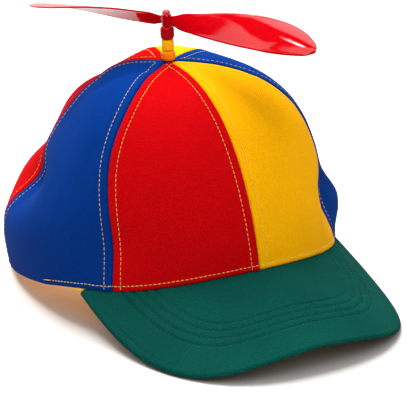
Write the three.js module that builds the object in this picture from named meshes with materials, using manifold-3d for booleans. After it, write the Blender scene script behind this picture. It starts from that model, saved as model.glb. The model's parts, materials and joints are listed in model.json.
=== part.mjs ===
// A six-panel cloth cap with a stiff green peak and a two-bladed spinner on top.
// Millimetres, +Z up. The cap faces -Y and rests on z = 0, on the two low sides of its peak and
// on the back of its rim. Angles round the crown run from 0 at the front to 180 at the back,
// positive on the wearer's left (+X) and negative on the wearer's right.
import * as THREE from "three";
import { mergeVertices } from "three/addons/utils/BufferGeometryUtils.js";
import Module from "manifold-3d";

const wasm = await Module();
wasm.setup();

const degree = Math.PI / 180;

// Crown, measured at the rim and on the table
const crownWidth = 165;
const crownFrontDepth = 78; // from the widest line to the front of the rim
const crownBackDepth = 112; // from the widest line to the back of the rim
const crownHeight = 118; // table to crown top
const crownTopSetback = 17; // the top leans this far behind the widest line
const crownTopAside = 1.2; // and this far to the wearer's left
const crownFullness = 2.77; // 2 is an ellipse, more is fuller at the sides
const crownFlatness = 1.88; // and this at the top
const clothThickness = 1.4;
const frontSeamAngle = 55;
const backSeamAngle = 122;

// Peak, a flat board bent to a cylinder and pitched down
const peakReach = 57.5; // forward of the crown
const peakWidth = 169; // along the board
const peakThickness = 2.6;
const peakBendRadius = 122;
const peakPitch = 18;
const peakEndAngle = 66; // where its ends meet the rim
const peakEndSetback = 2; // its widest corners stand this far behind its ends
const peakSquareness = 2.9; // 2 is an ellipse, more is squarer

// Inner band
const bandHeight = 27;
const bandThickness = 1.2;
const bandShow = 2.2; // it shows this far below the rim, beside the peak's ends
const bandShowSpread = 12; // degrees to each side

// Spinner stack, measured along its shaft
const shaftRadius = 1.3;
const shaftLeanRight = 1.6; // degrees
const shaftLeanBack = 2;
const flangeRadius = 8;
const flangeThickness = 1.5;
const orangeBeadHeight = 5.3;
const yellowTubeHeight = 5.8;
const redBeadHeight = 6.6;
const beadRadius = 3.8;
const beadEndRadius = 3;
const tubeRadius = 3.35;
const tubeEndRadius = 3.15;
const hubHeight = 6.2;
const hubRadius = 2.7;
const capLip = 0.9; // the end cap is this much wider than the shaft, per side
const capHeight = 2.4;
const capSkirt = 0.8; // straight part of the end cap

// Propeller
const propellerSpan = 190;
const bladeWidth = 30; // at its widest
const bladeCamber = 0.07; // as a share of its width
const bladeEdgeThinning = 0.5;
const bladeThickness = 1.1;
const bladeTurn = -64; // degrees from the X axis, as it stands at rest
const bladeDroop = 2.5; // the tips hang this far below the roots

// Clearances
const seamGap = 0.3;
const bandGap = 0.9; // between the band and the panels
const restGap = 0.3; // between stacked pieces
const shaftClearance = 0.3; // round the shaft, per side
const topHoleClearance = 0.8; // and in the cloth
const beadFoot = 0.6; // room for the leaning bead above the cloth

const shaftBore = shaftRadius + shaftClearance;
const topHoleRadius = shaftRadius + topHoleClearance;

// Mesh fineness
const panelColumns = 10;
const panelLowRows = 10; // closer together, where the folds are
const panelHighRows = 8;
const panelFoldLevel = 0.42; // where the two meet
const peakColumns = 44;
const peakRows = 8;
const bandColumns = 72;
const bandRows = 4;
const roundSides = 24;
const fallStep = 15; // degrees between the places where the crown's fall is taken
const beadSteps = 6;
const domeSteps = 5;
const bladeSections = 22;
const bladeTipFineness = 1.4; // over 1 sets the sections closer near the tip
const bladeChordSteps = 8;

// How high the rim stands behind the peak's ends, as a share of its height at those ends. Past runs
// from 0 at an end of the peak to 1 at the middle of the back.
const rimFall = [
  { past: 0.0, share: 1.0 },
  { past: 0.11, share: 0.86 },
  { past: 0.21, share: 0.68 },
  { past: 0.32, share: 0.45 },
  { past: 0.43, share: 0.22 },
  { past: 0.54, share: 0.06 },
  { past: 0.63, share: 0.0 },
  { past: 1.0, share: 0.0 },
];

// Soft dents and swells. Level runs from 0 at the rim to 1 at the top, spread and rise say how wide
// and how high each reaches. Depth is a share of the crown's width, inward if negative, and lift is
// a share of its height, down if negative.
const dents = [
  { name: "slump of the back", angle: 180, level: 0.58, spread: 60, rise: 0.22, depth: -0.1, lift: 0 },
  { name: "slump of the right rear", angle: -118, level: 0.62, spread: 30, rise: 0.26, depth: -0.03, lift: 0 },
  { name: "fullness behind that slump", angle: -142, level: 0.58, spread: 20, rise: 0.16, depth: 0.03, lift: 0 },
  { name: "fold at the right rear seam", angle: -115, level: 0.3, spread: 13, rise: 0.08, depth: -0.075, lift: 0 },
  { name: "swell behind that fold", angle: -146, level: 0.29, spread: 16, rise: 0.08, depth: 0.01, lift: 0 },
  { name: "dip over that swell", angle: -152, level: 0.42, spread: 24, rise: 0.09, depth: -0.04, lift: 0 },
  { name: "swell under that fold", angle: -122, level: 0.18, spread: 32, rise: 0.13, depth: 0.046, lift: 0 },
  { name: "swell of the rim under it", angle: -118, level: 0.03, spread: 26, rise: 0.1, depth: 0.018, lift: 0 },
  { name: "hollow at the left front seam", angle: 56, level: 0.17, spread: 11, rise: 0.1, depth: -0.04, lift: 0 },
  { name: "flare behind that hollow", angle: 80, level: 0.13, spread: 17, rise: 0.1, depth: 0.055, lift: 0 },
  { name: "fullness of the left shoulder", angle: 70, level: 0.6, spread: 40, rise: 0.26, depth: 0.045, lift: 0 },
  { name: "hollow at the right front seam", angle: -56, level: 0.15, spread: 9, rise: 0.1, depth: -0.02, lift: 0 },
  { name: "full top of the left rear", angle: 150, level: 0.8, spread: 60, rise: 0.2, depth: 0, lift: 0.035 },
  { name: "flat top of the right rear", angle: -160, level: 0.8, spread: 40, rise: 0.15, depth: 0, lift: -0.065 },
];

// Where the cloth is pulled round the crown, so that a seam wanders: turn is in degrees
const seamDrifts = [
  { name: "right front seam", angle: -56, level: 0.48, spread: 22, rise: 0.2, turn: -3.5 },
  { name: "back seam near the top", angle: 180, level: 0.92, spread: 60, rise: 0.22, turn: -22 },
  { name: "left front seam", angle: 58, level: 0.6, spread: 25, rise: 0.25, turn: 2 },
];

// The blade's outline and twist. Out is a share of the half span. The chord there is the hub
// column's share of the hub's height and the blade column's share of the blade's width, and sweep
// is how far its middle lies towards the leading edge, as a share of that width.
const bladeTable = [
  { out: 0.0, hub: 0.84, blade: 0, sweep: 0, pitch: 68 },
  { out: 0.045, hub: 0.9, blade: 0, sweep: 0, pitch: 63 },
  { out: 0.1, hub: 0.35, blade: 0.235, sweep: 0, pitch: 56 },
  { out: 0.2, hub: 0, blade: 0.43, sweep: 0, pitch: 43 },
  { out: 0.35, hub: 0, blade: 0.66, sweep: -0.02, pitch: 31 },
  { out: 0.5, hub: 0, blade: 0.86, sweep: -0.03, pitch: 23 },
  { out: 0.65, hub: 0, blade: 0.96, sweep: 0, pitch: 17 },
  { out: 0.75, hub: 0, blade: 0.94, sweep: 0.05, pitch: 14.5 },
  { out: 0.85, hub: 0, blade: 0.79, sweep: 0.12, pitch: 13 },
  { out: 0.92, hub: 0, blade: 0.59, sweep: 0.185, pitch: 12 },
  { out: 0.97, hub: 0, blade: 0.38, sweep: 0.23, pitch: 12 },
  { out: 1.0, hub: 0, blade: 0.11, sweep: 0.25, pitch: 12 },
];

const cloth = (color) => new THREE.MeshStandardMaterial({ color, roughness: 0.85, metalness: 0 });
const plastic = (color, opacity) =>
  new THREE.MeshStandardMaterial({ color, roughness: 0.2, metalness: 0, transparent: true, opacity });
const redCloth = cloth(0xc80a0f);
const blueCloth = cloth(0x05398f);
const yellowCloth = cloth(0xf5b90a);
const greenCloth = cloth(0x0b5a4a);
const bandCloth = cloth(0xffdc00);
const redPlastic = plastic(0xd8101c, 0.85);
const yellowPlastic = plastic(0xf7b500, 0.9);
const orangePlastic = plastic(0xff8a00, 0.9);
const clearPlastic = plastic(0xf0a0a8, 0.6);

// A smooth curve through a table's rows: key is the column that rises, pick reads a value of a row.
function along(table, key, at, pick) {
  const last = table.length - 1;
  const clamped = Math.min(Math.max(at, table[0][key]), table[last][key]);
  let i = 0;
  while (i < last - 1 && clamped > table[i + 1][key]) i += 1;
  const a = table[i];
  const b = table[i + 1];
  const width = b[key] - a[key];
  const slope = (j) => {
    const before = table[Math.max(j - 1, 0)];
    const after = table[Math.min(j + 1, last)];
    return (pick(after) - pick(before)) / (after[key] - before[key]);
  };
  const u = (clamped - a[key]) / width;
  const rise = u * u * (3 - 2 * u);
  const startBend = u * (1 - u) * (1 - u) * width;
  const endBend = u * u * (u - 1) * width;
  return pick(a) * (1 - rise) + pick(b) * rise + slope(i) * startBend + slope(i + 1) * endBend;
}

// The rim's outline, seen from above
function rimPlan(angle) {
  const turn = angle * degree;
  const depth = Math.cos(turn) > 0 ? crownFrontDepth : crownBackDepth;
  return new THREE.Vector2((crownWidth / 2) * Math.sin(turn), -depth * Math.cos(turn));
}

// The bent and pitched board, before it is lifted to stand on the table
function boardHeight(x, y) {
  const sag = peakBendRadius - Math.sqrt(Math.max(peakBendRadius ** 2 - x * x, 0));
  return (y + crownFrontDepth) * Math.tan(peakPitch * degree) - sag;
}

// The peak's outer edge from above: turn runs from -90 at the right end to 90 at the left
function peakOutline(turn) {
  const side = Math.sin(turn * degree);
  const ahead = Math.max(Math.cos(turn * degree), 0);
  const endY = rimPlan(peakEndAngle).y + peakEndSetback;
  const alongBoard = (peakWidth / 2) * Math.sign(side) * Math.abs(side) ** (2 / peakSquareness);
  const reach = endY + crownFrontDepth + peakReach;
  return new THREE.Vector2(
    peakBendRadius * Math.sin(alongBoard / peakBendRadius),
    endY - reach * ahead ** (2 / peakSquareness),
  );
}

// The lift that puts the lowest point of the peak's underside on the table
function peakLift() {
  let lowest = Infinity;
  for (let i = 0; i <= peakColumns; i += 1) {
    const p = peakOutline(-90 + (180 * i) / peakColumns);
    lowest = Math.min(lowest, boardHeight(p.x, p.y));
  }
  return peakThickness - lowest;
}
const boardLift = peakLift();
const boardTop = (x, y) => boardHeight(x, y) + boardLift;

// Height of the rim above the table
function rimHeight(angle) {
  const plan = rimPlan(angle);
  if (Math.abs(angle) <= peakEndAngle) return boardTop(plan.x, plan.y) + restGap;
  const end = rimPlan(peakEndAngle);
  const past = (Math.abs(angle) - peakEndAngle) / (180 - peakEndAngle);
  const share = Math.max(along(rimFall, "past", past, (row) => row.share), 0);
  return (boardTop(end.x, end.y) + restGap) * share;
}

// How strongly a dent or a drift acts at a point, 1 at its middle
function nearness(row, angle, level) {
  const away = ((angle - row.angle + 540) % 360) - 180;
  return Math.exp(-((away / row.spread) ** 2) - ((level - row.level) / row.rise) ** 2);
}

// A point of the crown's outer face
function crownFace(seamAngle, level) {
  const rise = 90 * degree * level;
  const reach = Math.max(Math.cos(rise), 0) ** (2 / crownFullness);
  const height = Math.sin(rise) ** (2 / crownFlatness);
  let angle = seamAngle;
  for (const row of seamDrifts) angle += row.turn * nearness(row, seamAngle, level);
  let dent = 0;
  let lift = 0;
  for (const row of dents) {
    const near = nearness(row, angle, level);
    dent += row.depth * crownWidth * near;
    lift += row.lift * crownHeight * near;
  }
  const plan = rimPlan(angle);
  const held = Math.min(reach * 2, 1); // dents fade out at the top's middle
  const outward = plan.clone().normalize().multiplyScalar(dent * held);
  const edge = rimHeight(angle);
  return new THREE.Vector3(
    plan.x * reach + crownTopAside * height + outward.x,
    plan.y * reach + crownTopSetback * height + outward.y,
    edge + (crownHeight - edge) * height + lift * held,
  );
}

// The crown's outward direction at a point
function crownNormal(angle, level) {
  const stepAngle = 0.5;
  const stepLevel = 0.01;
  const low = Math.max(level - stepLevel, 0);
  const high = Math.min(level + stepLevel, 0.985);
  const round = crownFace(angle + stepAngle, level).sub(crownFace(angle - stepAngle, level));
  const rise = crownFace(angle, high).sub(crownFace(angle, Math.min(low, high - stepLevel)));
  return round.cross(rise).normalize();
}

// A point inset from the crown's outer face. At the rim the inset is level, so edges stay on the peak.
function crownPoint(angle, level, inset) {
  const face = crownFace(angle, level);
  const inward = crownNormal(angle, level);
  if (level === 0) {
    inward.z = 0;
    inward.normalize();
  }
  const p = face.addScaledVector(inward, -inset);
  if (level === 0 && Math.abs(angle) <= peakEndAngle) p.z = boardTop(p.x, p.y) + restGap;
  return p;
}

// The level at which the crown is this far from its top's middle
function levelAtRadius(angle, radius) {
  let low = 0.6;
  let high = 1;
  for (let i = 0; i < 30; i += 1) {
    const middle = (low + high) / 2;
    const p = crownFace(angle, middle);
    if (Math.hypot(p.x - crownTopAside, p.y - crownTopSetback) > radius) low = middle;
    else high = middle;
  }
  return low;
}

// How far the crown has fallen, at most, at this distance from its top's middle
function topFall(radius) {
  let fall = 0;
  for (let angle = -180; angle < 180; angle += fallStep) {
    fall = Math.max(fall, crownHeight - crownFace(angle, levelAtRadius(angle, radius)).z);
  }
  return fall;
}

// A closed skin from a grid of outer points and a grid of inner points of the same size
function shellGeometry(outer, inner, ring) {
  const rows = outer.length;
  const columns = outer[0].length;
  const points = [...outer.flat(), ...inner.flat()];
  const index = [];
  const outerAt = (i, j) => i * columns + (j % columns);
  const innerAt = (i, j) => rows * columns + outerAt(i, j);
  const quad = (a, b, c, d) => index.push(a, b, c, a, c, d);
  const spans = ring ? columns : columns - 1;
  for (let i = 0; i < rows - 1; i += 1) {
    for (let j = 0; j < spans; j += 1) {
      quad(outerAt(i, j), outerAt(i, j + 1), outerAt(i + 1, j + 1), outerAt(i + 1, j));
      quad(innerAt(i, j), innerAt(i + 1, j), innerAt(i + 1, j + 1), innerAt(i, j + 1));
    }
  }
  for (let j = 0; j < spans; j += 1) {
    quad(outerAt(0, j), innerAt(0, j), innerAt(0, j + 1), outerAt(0, j + 1));
    quad(outerAt(rows - 1, j), outerAt(rows - 1, j + 1), innerAt(rows - 1, j + 1), innerAt(rows - 1, j));
  }
  if (!ring) {
    for (let i = 0; i < rows - 1; i += 1) {
      quad(outerAt(i, 0), outerAt(i + 1, 0), innerAt(i + 1, 0), innerAt(i, 0));
      const end = columns - 1;
      quad(outerAt(i, end), innerAt(i, end), innerAt(i + 1, end), outerAt(i + 1, end));
    }
  }
  const geometry = new THREE.BufferGeometry();
  const numbers = points.flatMap((p) => [p.x, p.y, p.z]);
  geometry.setAttribute("position", new THREE.Float32BufferAttribute(numbers, 3));
  geometry.setIndex(index);
  geometry.computeVertexNormals();
  return geometry;
}

// Angles across a panel, evenly spread, with one at each end of the peak that the panel crosses
function panelAngles(fromAngle, toAngle) {
  const corner = fromAngle < 0 ? -peakEndAngle : peakEndAngle;
  const crosses = fromAngle < corner && corner < toAngle;
  const stops = crosses ? [fromAngle, corner, toAngle] : [fromAngle, toAngle];
  const angles = [fromAngle];
  for (let i = 1; i < stops.length; i += 1) {
    const width = stops[i] - stops[i - 1];
    const steps = Math.max(Math.round((panelColumns * width) / (toAngle - fromAngle)), 1);
    for (let j = 1; j <= steps; j += 1) angles.push(stops[i - 1] + (width * j) / steps);
  }
  return angles;
}

// The levels of a panel's rows, up to its top edge
function panelLevels(topLevel) {
  const levels = [];
  for (let i = 0; i < panelLowRows; i += 1) levels.push((panelFoldLevel * i) / panelLowRows);
  for (let i = 0; i <= panelHighRows; i += 1) {
    levels.push(panelFoldLevel + ((topLevel - panelFoldLevel) * i) / panelHighRows);
  }
  return levels;
}

// One crown panel between two seams, with half the seam gap taken off each edge
function panelGeometry(fromAngle, toAngle) {
  const angles = panelAngles(fromAngle, toAngle);
  const last = angles.length - 1;
  const levels = angles.map((angle) => panelLevels(levelAtRadius(angle, topHoleRadius)));
  const layer = (inset) => {
    const grid = [];
    for (let i = 0; i <= panelLowRows + panelHighRows; i += 1) {
      const row = [];
      for (const [j, angle] of angles.entries()) {
        const level = levels[j][i];
        const p = crownPoint(angle, level, inset);
        const side = j === 0 ? 1 : j === last ? -1 : 0;
        const next = crownPoint(angle + side, level, inset);
        if (side) p.addScaledVector(next.sub(p).normalize(), seamGap / 2);
        row.push(p);
      }
      grid.push(row);
    }
    return grid;
  };
  return shellGeometry(layer(0), layer(clothThickness), false);
}

// The peak: its board follows the rim at the inner edge and peakOutline at the outer edge
function peakGeometry() {
  const grid = [];
  const lower = [];
  for (let i = 0; i <= peakRows; i += 1) {
    const row = [];
    const lowerRow = [];
    for (let j = 0; j <= peakColumns; j += 1) {
      const share = -1 + (2 * j) / peakColumns;
      const start = crownPoint(share * peakEndAngle, 0, clothThickness);
      const end = peakOutline(share * 90);
      const x = start.x + ((end.x - start.x) * i) / peakRows;
      const y = start.y + ((end.y - start.y) * i) / peakRows;
      row.push(new THREE.Vector3(x, y, boardTop(x, y)));
      lowerRow.push(new THREE.Vector3(x, y, boardTop(x, y) - peakThickness));
    }
    grid.push(row.reverse());
    lower.push(lowerRow.reverse());
  }
  return shellGeometry(grid, lower, false);
}

// The band inside the rim
function bandGeometry() {
  const firstInset = clothThickness + bandGap;
  const topLevel = (angle) => {
    const share = bandHeight / (crownHeight - rimHeight(angle));
    return Math.asin(share ** (crownFlatness / 2)) / (90 * degree);
  };
  const shown = (angle) => {
    const past = Math.abs(angle) - peakEndAngle;
    return bandShow * Math.exp(-((past / bandShowSpread) ** 2));
  };
  const layer = (inset) => {
    const grid = [];
    for (let i = 0; i <= bandRows; i += 1) {
      const row = [];
      for (let j = 0; j < bandColumns; j += 1) {
        const angle = -180 + (360 * j) / bandColumns;
        const p = crownPoint(angle, (topLevel(angle) * i) / bandRows, inset);
        if (i === 0) p.z -= shown(angle);
        row.push(p);
      }
      grid.push(row);
    }
    return grid;
  };
  return shellGeometry(layer(firstInset), layer(firstInset + bandThickness), true);
}

// A turned piece: its profile is a list of [radius, height] that closes on itself
function turnedGeometry(outline) {
  const points = outline.map(([r, z]) => new THREE.Vector2(r, z));
  return new THREE.LatheGeometry([...points, points[0].clone()], roundSides).rotateX(Math.PI / 2);
}

// A bead: a barrel with a bore
function beadGeometry(radius, endRadius, height) {
  const outline = [[shaftBore, 0]];
  for (let i = 0; i <= beadSteps; i += 1) {
    const turn = -1 + (2 * i) / beadSteps;
    outline.push([endRadius + (radius - endRadius) * Math.sqrt(1 - turn * turn), (height * i) / beadSteps]);
  }
  outline.push([shaftBore, height]);
  return turnedGeometry(outline);
}

const toManifold = (geometry) => {
  const bare = geometry.clone();
  bare.deleteAttribute("normal");
  bare.deleteAttribute("uv");
  const merged = mergeVertices(bare, 1e-4);
  return new wasm.Manifold(
    new wasm.Mesh({
      numProp: 3,
      vertProperties: new Float32Array(merged.attributes.position.array),
      triVerts: new Uint32Array(merged.index.array),
    }),
  );
};

const fromManifold = (solid) => {
  const mesh = solid.getMesh();
  const geometry = new THREE.BufferGeometry();
  geometry.setAttribute("position", new THREE.BufferAttribute(new Float32Array(mesh.vertProperties), 3));
  geometry.setIndex(new THREE.BufferAttribute(new Uint32Array(mesh.triVerts), 1));
  geometry.computeVertexNormals();
  return geometry;
};

// One blade, out along +X from the shaft, its leading edge on the -Y side
function bladeGeometry() {
  const top = [];
  const bottom = [];
  for (let i = 0; i <= bladeSections; i += 1) {
    const out = 1 - (1 - i / bladeSections) ** bladeTipFineness;
    const chord = along(bladeTable, "out", out, (row) => row.hub * hubHeight + row.blade * bladeWidth);
    const pitch = along(bladeTable, "out", out, (row) => row.pitch) * degree;
    const sweep = along(bladeTable, "out", out, (row) => row.sweep) * bladeWidth;
    const topRow = [];
    const bottomRow = [];
    for (let j = 0; j <= bladeChordSteps; j += 1) {
      const across = -0.5 + j / bladeChordSteps;
      const camber = chord * bladeCamber * (1 - 4 * across * across);
      const behind = chord * across - sweep;
      const y = behind * Math.cos(pitch) - camber * Math.sin(pitch);
      const z = behind * Math.sin(pitch) + camber * Math.cos(pitch);
      const half = (bladeThickness / 2) * (1 - bladeEdgeThinning * Math.abs(2 * across) ** 3);
      const lift = new THREE.Vector3(0, -Math.sin(pitch), Math.cos(pitch)).multiplyScalar(half);
      const middle = new THREE.Vector3((out * propellerSpan) / 2, y, z - bladeDroop * out * out);
      topRow.push(middle.clone().add(lift));
      bottomRow.push(middle.clone().sub(lift));
    }
    top.push(topRow);
    bottom.push(bottomRow);
  }
  return shellGeometry(bottom, top, false);
}

// The propeller: a hub with a bore, and two blades half a turn apart. Its origin is the hub's foot.
function propellerGeometry() {
  const hub = turnedGeometry([
    [shaftBore, 0],
    [hubRadius, 0],
    [hubRadius, hubHeight],
    [shaftBore, hubHeight],
  ]);
  const hole = turnedGeometry([
    [0, -hubHeight],
    [shaftBore, -hubHeight],
    [shaftBore, 2 * hubHeight],
    [0, 2 * hubHeight],
  ]);
  let whole = toManifold(hub);
  for (const turn of [0, Math.PI]) {
    const blade = bladeGeometry().translate(0, 0, hubHeight / 2).rotateZ(turn);
    whole = whole.add(toManifold(blade));
  }
  return fromManifold(whole.subtract(toManifold(hole)));
}

// The spindle: a flange inside the crown, a shaft and a round end cap, in one piece
function spindleGeometry(flangeTop, capFoot) {
  const capRadius = shaftRadius + capLip;
  const capShoulder = capFoot + capSkirt;
  const outline = [
    [0, flangeTop - flangeThickness],
    [flangeRadius, flangeTop - flangeThickness],
    [flangeRadius, flangeTop],
    [shaftRadius, flangeTop],
    [shaftRadius, capFoot],
    [capRadius, capFoot],
    [capRadius, capShoulder],
  ];
  for (let i = 1; i < domeSteps; i += 1) {
    const turn = (90 * degree * i) / domeSteps;
    outline.push([capRadius * Math.cos(turn), capShoulder + (capHeight - capSkirt) * Math.sin(turn)]);
  }
  outline.push([0, capFoot + capHeight]);
  return turnedGeometry(outline);
}

function addMesh(parent, name, geometry, material) {
  const mesh = new THREE.Mesh(geometry, material);
  mesh.name = name;
  parent.add(mesh);
  return mesh;
}

function buildCrown(parent) {
  const panels = [
    ["front_panel_right", -frontSeamAngle, 0, redCloth],
    ["front_panel_left", 0, frontSeamAngle, yellowCloth],
    ["side_panel_right", -backSeamAngle, -frontSeamAngle, blueCloth],
    ["side_panel_left", frontSeamAngle, backSeamAngle, blueCloth],
    ["back_panel_right", -180, -backSeamAngle, redCloth],
    ["back_panel_left", backSeamAngle, 180, yellowCloth],
  ];
  for (const [name, from, to, material] of panels) {
    addMesh(parent, name, panelGeometry(from, to), material);
  }
}

// The stack on its leaning shaft, with its foot at the crown's top. The flange hangs clear of the
// lowest cloth above its edge.
function buildSpinner(parent) {
  const stack = new THREE.Group();
  stack.position.set(crownTopAside, crownTopSetback, crownHeight);
  stack.rotation.set(-shaftLeanBack * degree, -shaftLeanRight * degree, 0);
  parent.add(stack);

  const lean = Math.hypot(shaftLeanRight, shaftLeanBack) * degree;
  const flangeTop = -clothThickness - topFall(flangeRadius) - flangeRadius * Math.sin(lean) - restGap;
  const tubeFoot = beadFoot + orangeBeadHeight + restGap;
  const redFoot = tubeFoot + yellowTubeHeight + restGap;
  const hubFoot = redFoot + redBeadHeight + restGap;
  const capFoot = hubFoot + hubHeight + restGap;

  const bead = (height) => beadGeometry(beadRadius, beadEndRadius, height);
  const tube = beadGeometry(tubeRadius, tubeEndRadius, yellowTubeHeight);
  addMesh(stack, "orange_bead", bead(orangeBeadHeight), orangePlastic).position.z = beadFoot;
  addMesh(stack, "yellow_tube", tube, yellowPlastic).position.z = tubeFoot;
  addMesh(stack, "red_bead", bead(redBeadHeight), redPlastic).position.z = redFoot;
  const propeller = addMesh(stack, "propeller", propellerGeometry(), redPlastic);
  propeller.position.z = hubFoot;
  propeller.rotation.z = bladeTurn * degree;
  addMesh(stack, "spindle", spindleGeometry(flangeTop, capFoot), clearPlastic);
}

const cap = new THREE.Group();
buildCrown(cap);
addMesh(cap, "peak", peakGeometry(), greenCloth);
addMesh(cap, "inner_band", bandGeometry(), bandCloth);
buildSpinner(cap);

// The origin is the middle of the whole cap's box, on the table
const box = new THREE.Box3().setFromObject(cap, true);
cap.position.set(-(box.min.x + box.max.x) / 2, -(box.min.y + box.max.y) / 2, -box.min.z);

export default cap;
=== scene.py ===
import json
import math
from functools import lru_cache

import bmesh
import bpy
from mathutils import Matrix, Vector, kdtree, noise
from mathutils.geometry import intersect_point_line


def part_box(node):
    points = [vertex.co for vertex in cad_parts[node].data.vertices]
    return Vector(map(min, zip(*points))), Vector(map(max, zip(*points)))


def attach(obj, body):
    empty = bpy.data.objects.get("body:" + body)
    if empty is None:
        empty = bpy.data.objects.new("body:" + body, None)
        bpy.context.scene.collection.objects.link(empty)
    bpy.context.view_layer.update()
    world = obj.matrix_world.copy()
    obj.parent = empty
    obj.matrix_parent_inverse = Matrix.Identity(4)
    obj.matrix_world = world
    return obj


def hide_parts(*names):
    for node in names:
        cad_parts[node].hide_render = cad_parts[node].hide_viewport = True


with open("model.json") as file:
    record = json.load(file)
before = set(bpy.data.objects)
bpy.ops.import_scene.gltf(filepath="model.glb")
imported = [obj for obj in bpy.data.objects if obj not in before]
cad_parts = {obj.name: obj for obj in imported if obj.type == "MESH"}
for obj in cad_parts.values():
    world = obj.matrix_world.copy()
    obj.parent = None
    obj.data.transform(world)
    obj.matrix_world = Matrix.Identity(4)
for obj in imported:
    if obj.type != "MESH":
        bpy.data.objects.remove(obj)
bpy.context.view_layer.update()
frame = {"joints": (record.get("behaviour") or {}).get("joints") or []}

mm = 0.001
mergeGap = 0.002 * mm


def smoothStep(low, high, at):
    share = min(max((at - low) / (high - low), 0), 1)
    return share * share * (3 - 2 * share)


def bell(at, middle, width):
    return math.exp(-(((at - middle) / width) ** 2))


# A smooth curve through a table's rows: key is the column that rises, column the one that is read
def along(table, key, at, column):
    last = len(table) - 1
    at = min(max(at, table[0][key]), table[last][key])
    i = 0
    while i < last - 1 and at > table[i + 1][key]:
        i += 1
    a, b = table[i], table[i + 1]
    width = b[key] - a[key]

    def slope(j):
        before, after = table[max(j - 1, 0)], table[min(j + 1, last)]
        return (after[column] - before[column]) / (after[key] - before[key])

    u = (at - a[key]) / width
    rise = u * u * (3 - 2 * u)
    bend = slope(i) * u * (1 - u) ** 2 * width + slope(i + 1) * u * u * (u - 1) * width
    return a[column] * (1 - rise) + b[column] * rise + bend


# Sets a node's own settings and its inputs, which are plain values or another node's output
def addNode(tree, kind, settings=None, inputs=None):
    node = tree.nodes.new(kind)
    for name, value in (settings or {}).items():
        setattr(node, name, value)
    for name, value in (inputs or {}).items():
        if isinstance(value, bpy.types.NodeSocket):
            tree.links.new(value, node.inputs[name])
        else:
            node.inputs[name].default_value = value
    return node


def calculate(tree, operation, *values, clamp=False):
    settings = dict(operation=operation, use_clamp=clamp)
    return addNode(tree, "ShaderNodeMath", settings, dict(enumerate(values))).outputs[0]


def remap(tree, value, fromRange, toRange, curve="LINEAR"):
    return addNode(
        tree, "ShaderNodeMapRange", dict(interpolation_type=curve),
        {"Value": value, "From Min": fromRange[0], "From Max": fromRange[1],
         "To Min": toRange[0], "To Max": toRange[1]},
    ).outputs["Result"]


def ease(tree, value, fromRange, toRange=(0, 1)):
    return remap(tree, value, fromRange, toRange, "SMOOTHSTEP")


def makeNoise(tree, place, scale, detail, roughness=0.5):
    inputs = {"Vector": place, "Scale": scale, "Detail": detail, "Roughness": roughness}
    return addNode(tree, "ShaderNodeTexNoise", inputs=inputs).outputs["Fac"]


def mixColours(tree, share, low, high):
    inputs = {"Factor": share, "A": (*low, 1), "B": (*high, 1)}
    return addNode(tree, "ShaderNodeMix", dict(data_type="RGBA"), inputs).outputs["Result"]


def makeBump(tree, height, strength, depth):
    inputs = {"Height": height, "Strength": strength, "Distance": depth}
    return addNode(tree, "ShaderNodeBump", inputs=inputs).outputs["Normal"]


def newMaterial(name, sockets):
    material = bpy.data.materials.new(name)
    material.use_nodes = True
    shader = material.node_tree.nodes["Principled BSDF"]
    for socket, value in sockets.items():
        shader.inputs[socket].default_value = value
    return material, material.node_tree, shader


def feed(tree, shader, sockets):
    for socket, value in sockets.items():
        tree.links.new(value, shader.inputs[socket])


def toMesh(bm, name):
    mesh = bpy.data.meshes.new(name)
    bm.to_mesh(mesh)
    bm.free()
    return mesh


def toObject(name, data):
    made = bpy.data.objects.new(name, data)
    bpy.context.scene.collection.objects.link(made)
    return made


def makePiece(bm, name, material, stands=(), body="cap"):
    mesh = toMesh(bm, name)
    mesh.shade_smooth()
    mesh.materials.append(material)
    piece = toObject(name, mesh)
    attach(piece, body)
    if stands:
        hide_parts(*stands)
    return piece


# Lays a grid of cloth: spots gives each (column, row) its place and its own place in the UV map
def layGrid(columns, rows, spots):
    bm = bmesh.new()
    bmesh.ops.create_grid(bm, x_segments=columns, y_segments=rows, size=0.5)
    flat = bm.loops.layers.uv.new("cloth")
    for vertex in bm.verts:
        spot = round((vertex.co.x + 0.5) * columns), round((vertex.co.y + 0.5) * rows)
        vertex.co, uv = spots[spot]
        for loop in vertex.link_loops:
            loop[flat].uv = uv
    return bm


def closeUp(bm, fillHoles=False):
    bmesh.ops.remove_doubles(bm, verts=bm.verts, dist=mergeGap)
    if fillHoles:
        bmesh.ops.holes_fill(bm, edges=[edge for edge in bm.edges if edge.is_boundary], sides=0)
    bmesh.ops.recalc_face_normals(bm, faces=bm.faces)


# Photograph's view
view = dict(
    azimuth=-30.6, elevation=20.5, distance=1.219, lens=201.3,
    target=(6.85 * mm, 5.5 * mm, 42.8 * mm),
)


def pointAlong(thing, direction):
    thing.rotation_mode = "QUATERNION"
    thing.rotation_quaternion = direction.to_track_quat("-Z", "Y")


def makeCamera():
    turn, lift = math.radians(view["azimuth"]), math.radians(view["elevation"])
    back = Vector((math.sin(turn) * math.cos(lift), -math.cos(turn) * math.cos(lift), math.sin(lift)))
    data = bpy.data.cameras.new("photoView")
    data.lens = view["lens"]
    camera = toObject("photoView", data)
    camera.location = Vector(view["target"]) + back * view["distance"]
    pointAlong(camera, -back)
    bpy.context.scene.camera = camera


makeCamera()
print("camera placed")

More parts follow.
